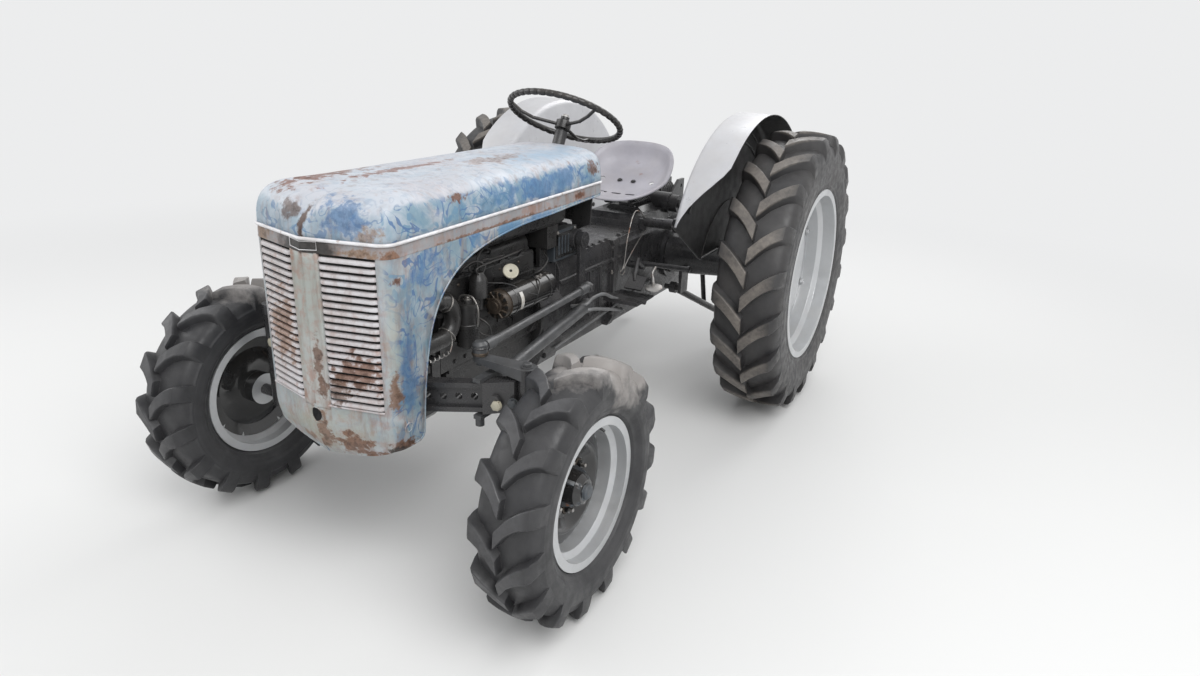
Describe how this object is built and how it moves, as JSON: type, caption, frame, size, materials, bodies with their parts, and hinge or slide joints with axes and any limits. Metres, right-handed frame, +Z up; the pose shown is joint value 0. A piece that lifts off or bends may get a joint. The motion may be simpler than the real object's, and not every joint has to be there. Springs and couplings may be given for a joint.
{
  "type": "vintage tractor",
  "caption": "Small vintage farm tractor with a forward-tilting bonnet, lugged tyres, steered front axle and a rear linkage that lifts.",
  "frame": {"origin": "on the ground, under the middle of the tractor's length and width", "axes": "+Y towards the rear, +X towards the left side, +Z up"},
  "size_m": [1.72, 2.8081, 1.387],
  "materials": {
    "engine_black": "satin",
    "rusty_exhaust": "rough",
    "bare_shaft": "satin",
    "worn_blue_paint": "satin",
    "worn_grey_paint": "satin",
    "seat_grey": "satin",
    "silver_paint": "satin",
    "wheel_rim_black": "gloss",
    "tyre_rubber": "matte"
  },
  "bodies": {
    "chassis": {"engine_block": "engine_black", "engine_sump": "engine_black", "engine_ancillaries": "engine_black", "exhaust_pipe": "rusty_exhaust", "dynamo": "engine_black", "fan_and_belt": "engine_black", "radiator": "engine_black", "fuel_tank": "engine_black", "battery_box": "engine_black", "dash_panel": "engine_black", "gearbox_housing": "engine_black", "centre_housing": "engine_black", "axle_trumpets": "engine_black", "steering_box": "engine_black", "front_bolster": "engine_black", "front_axle_beam": "engine_black", "axle_extensions": "engine_black", "radius_rods": "engine_black", "seat_pan": "seat_grey", "seat_spring": "engine_black", "fender_left": "silver_paint", "fender_right": "silver_paint", "fender_stays": "engine_black", "footrests": "engine_black", "pedals_and_levers": "engine_black", "top_link_bracket": "engine_black", "power_shaft": "bare_shaft"},
    "bonnet": {"bonnet_top": "worn_blue_paint", "bonnet_band": "worn_blue_paint", "side_panels": "worn_blue_paint", "grille": "worn_grey_paint"},
    "steering_wheel": {"steering_wheel": "wheel_rim_black"},
    "knuckle_left": {"knuckle_left": "engine_black"},
    "front_wheel_left": {"front_wheel_left": "silver_paint", "front_tyre_left": "tyre_rubber"},
    "rear_wheel_left": {"rear_wheel_left": "silver_paint", "rear_tyre_left": "tyre_rubber"},
    "drop_arm_left": {"drop_arm_left": "engine_black"},
    "drag_link_left": {"drag_link_left": "engine_black"},
    "knuckle_right": {"knuckle_right": "engine_black"},
    "front_wheel_right": {"front_wheel_right": "silver_paint", "front_tyre_right": "tyre_rubber"},
    "rear_wheel_right": {"rear_wheel_right": "silver_paint", "rear_tyre_right": "tyre_rubber"},
    "drop_arm_right": {"drop_arm_right": "engine_black"},
    "drag_link_right": {"drag_link_right": "engine_black"},
    "lift_arms": {"lift_arms": "engine_black"},
    "lift_rod_left": {"lift_rod_left": "engine_black"},
    "lower_link_left": {"lower_link_left": "engine_black"},
    "lift_rod_right": {"lift_rod_right": "engine_black"},
    "lower_link_right": {"lower_link_right": "engine_black"}
  },
  "joints": [
    {"name": "bonnet_tilt", "type": "hinge", "parent": "chassis", "child": "bonnet", "pos_m": [0, -1.22119, 0.535], "axis": [1, 0, 0], "range_deg": [0, 50]},
    {"name": "steering_wheel_turn", "type": "hinge", "parent": "chassis", "child": "steering_wheel", "pos_m": [0, 0.00181, 1.275], "axis": [0, 0.4695, 0.8829], "range_deg": [-450, 450]},
    {"name": "steer_left", "type": "hinge", "parent": "chassis", "child": "knuckle_left", "pos_m": [0.505, -1.02619, 0.5], "axis": [0, 0, 1], "range_deg": [-35, 35]},
    {"name": "front_roll_left", "type": "hinge", "parent": "knuckle_left", "child": "front_wheel_left", "pos_m": [0.655, -1.02619, 0.378], "axis": [1, 0, 0], "continuous": true},
    {"name": "rear_roll_left", "type": "hinge", "parent": "chassis", "child": "rear_wheel_left", "pos_m": [0.72, 0.75181, 0.611], "axis": [1, 0, 0], "continuous": true},
    {"name": "drop_arm_swing_left", "type": "hinge", "parent": "chassis", "child": "drop_arm_left", "pos_m": [0.188, -0.17319, 0.855], "axis": [1, 0, 0], "range_deg": [-31, 31]},
    {"name": "drag_link_swing_left", "type": "hinge", "parent": "drop_arm_left", "child": "drag_link_left", "pos_m": [0.205, -0.17319, 0.674], "axis": [1, 0, 0], "range_deg": [-31, 31]},
    {"name": "steer_right", "type": "hinge", "parent": "chassis", "child": "knuckle_right", "pos_m": [-0.505, -1.02619, 0.5], "axis": [0, 0, 1], "range_deg": [-35, 35]},
    {"name": "front_roll_right", "type": "hinge", "parent": "knuckle_right", "child": "front_wheel_right", "pos_m": [-0.655, -1.02619, 0.378], "axis": [1, 0, 0], "continuous": true},
    {"name": "rear_roll_right", "type": "hinge", "parent": "chassis", "child": "rear_wheel_right", "pos_m": [-0.72, 0.75181, 0.611], "axis": [1, 0, 0], "continuous": true},
    {"name": "drop_arm_swing_right", "type": "hinge", "parent": "chassis", "child": "drop_arm_right", "pos_m": [-0.188, -0.17319, 0.855], "axis": [1, 0, 0], "range_deg": [-31, 31]},
    {"name": "drag_link_swing_right", "type": "hinge", "parent": "drop_arm_right", "child": "drag_link_right", "pos_m": [-0.205, -0.17319, 0.674], "axis": [1, 0, 0], "range_deg": [-31, 31]},
    {"name": "hitch_lift", "type": "hinge", "parent": "chassis", "child": "lift_arms", "pos_m": [0, 0.73181, 0.85], "axis": [1, 0, 0], "range_deg": [0, 68]},
    {"name": "lift_rod_swing_left", "type": "hinge", "parent": "lift_arms", "child": "lift_rod_left", "pos_m": [0.2025, 0.97329, 0.78529], "axis": [1, 0, 0], "range_deg": [-55, 0]},
    {"name": "lower_link_swing_left", "type": "hinge", "parent": "chassis", "child": "lower_link_left", "pos_m": [0.225, 0.65181, 0.47], "axis": [1, 0, 0], "range_deg": [0, 43]},
    {"name": "lift_rod_swing_right", "type": "hinge", "parent": "lift_arms", "child": "lift_rod_right", "pos_m": [-0.2025, 0.97329, 0.78529], "axis": [1, 0, 0], "range_deg": [-55, 0]},
    {"name": "lower_link_swing_right", "type": "hinge", "parent": "chassis", "child": "lower_link_right", "pos_m": [-0.225, 0.65181, 0.47], "axis": [1, 0, 0], "range_deg": [0, 43]}
  ],
  "couplings": [
    {"joint": "drop_arm_swing_left", "follows": "steer_left", "ratio": -0.875},
    {"joint": "drag_link_swing_left", "follows": "steer_left", "ratio": 0.875},
    {"joint": "drop_arm_swing_right", "follows": "steer_left", "ratio": 0.875},
    {"joint": "drag_link_swing_right", "follows": "steer_left", "ratio": -0.875},
    {"joint": "steer_right", "follows": "steer_left", "ratio": 1},
    {"joint": "steering_wheel_turn", "follows": "steer_left", "ratio": 12.8},
    {"joint": "lift_rod_swing_left", "follows": "hitch_lift", "ratio": -0.793},
    {"joint": "lower_link_swing_left", "follows": "hitch_lift", "ratio": 0.622},
    {"joint": "lift_rod_swing_right", "follows": "hitch_lift", "ratio": -0.793},
    {"joint": "lower_link_swing_right", "follows": "hitch_lift", "ratio": 0.622}
  ]
}
